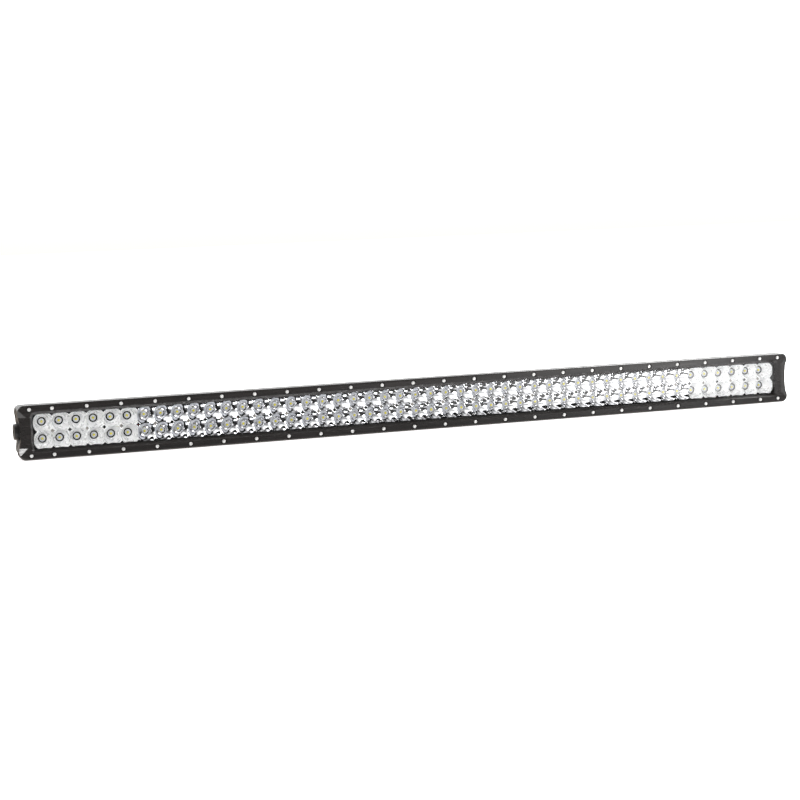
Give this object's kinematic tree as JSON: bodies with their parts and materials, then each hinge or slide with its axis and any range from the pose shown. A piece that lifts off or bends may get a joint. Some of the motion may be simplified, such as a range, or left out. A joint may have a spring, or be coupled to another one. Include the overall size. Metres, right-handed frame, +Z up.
{
  "type": "led light bar",
  "caption": "Long double-row LED light bar with a black finned housing, a bolted bezel, mirrored reflector cups behind a clear lens, and side bosses for end brackets.",
  "frame": {"origin": "centre of the bar's bounding box", "axes": "+X along the bar, -Y out of the lens, +Z up"},
  "size_m": [1.277, 0.073, 0.081],
  "materials": {
    "housing_black": "satin black powder coat on extruded aluminium",
    "cap_black": "satin black powder coat on die-cast aluminium",
    "bezel_black": "satin black anodised aluminium",
    "clear_lens": "clear polycarbonate, gloss",
    "gasket_rubber": "matte black silicone rubber",
    "flood_reflector": "vacuum-metallised, fine orange-peel texture",
    "spot_reflector": "vacuum-metallised, mirror smooth",
    "led_board": "matte black solder mask on an aluminium board",
    "led_base": "matte grey ceramic",
    "led_phosphor": "matte yellow phosphor",
    "led_dome": "clear silicone, gloss",
    "screw_steel": "polished stainless steel",
    "insulator": "matte silicone pad",
    "driver_board": "green solder mask",
    "component_black": "moulded black",
    "capacitor_can": "satin can",
    "wire_insulation": "satin PVC",
    "gland_plastic": "matte black nylon"
  },
  "bodies": {
    "root": {"bezel_screws": "screw_steel", "board_jumpers": "wire_insulation", "breather": "gland_plastic", "driver_boards": "driver_board", "driver_capacitors": "capacitor_can", "driver_inductors": "component_black", "driver_insulators": "insulator", "driver_transistors": "component_black", "end_cap_left": "cap_black", "end_cap_right": "cap_black", "end_cap_screws": "screw_steel", "end_gasket_left": "gasket_rubber", "end_gasket_right": "gasket_rubber", "front_bezel": "bezel_black", "gland_body": "gland_plastic", "gland_dome_nut": "gland_plastic", "gland_locknut": "gland_plastic", "gland_seal": "gasket_rubber", "housing_extrusion": "housing_black", "led_bases": "led_base", "led_board_1": "led_board", "led_board_2": "led_board", "led_board_3": "led_board", "led_board_4": "led_board", "led_board_5": "led_board", "led_board_6": "led_board", "led_board_7": "led_board", "led_board_8": "led_board", "led_domes": "led_dome", "led_phosphors": "led_phosphor", "lens": "clear_lens", "lens_gasket": "gasket_rubber", "reflector_flood_1": "flood_reflector", "reflector_flood_8": "flood_reflector", "reflector_screws": "screw_steel", "reflector_spot_2": "spot_reflector", "reflector_spot_3": "spot_reflector", "reflector_spot_4": "spot_reflector", "reflector_spot_5": "spot_reflector", "reflector_spot_6": "spot_reflector", "reflector_spot_7": "spot_reflector", "supply_wires": "wire_insulation"}
  },
  "joints": []
}
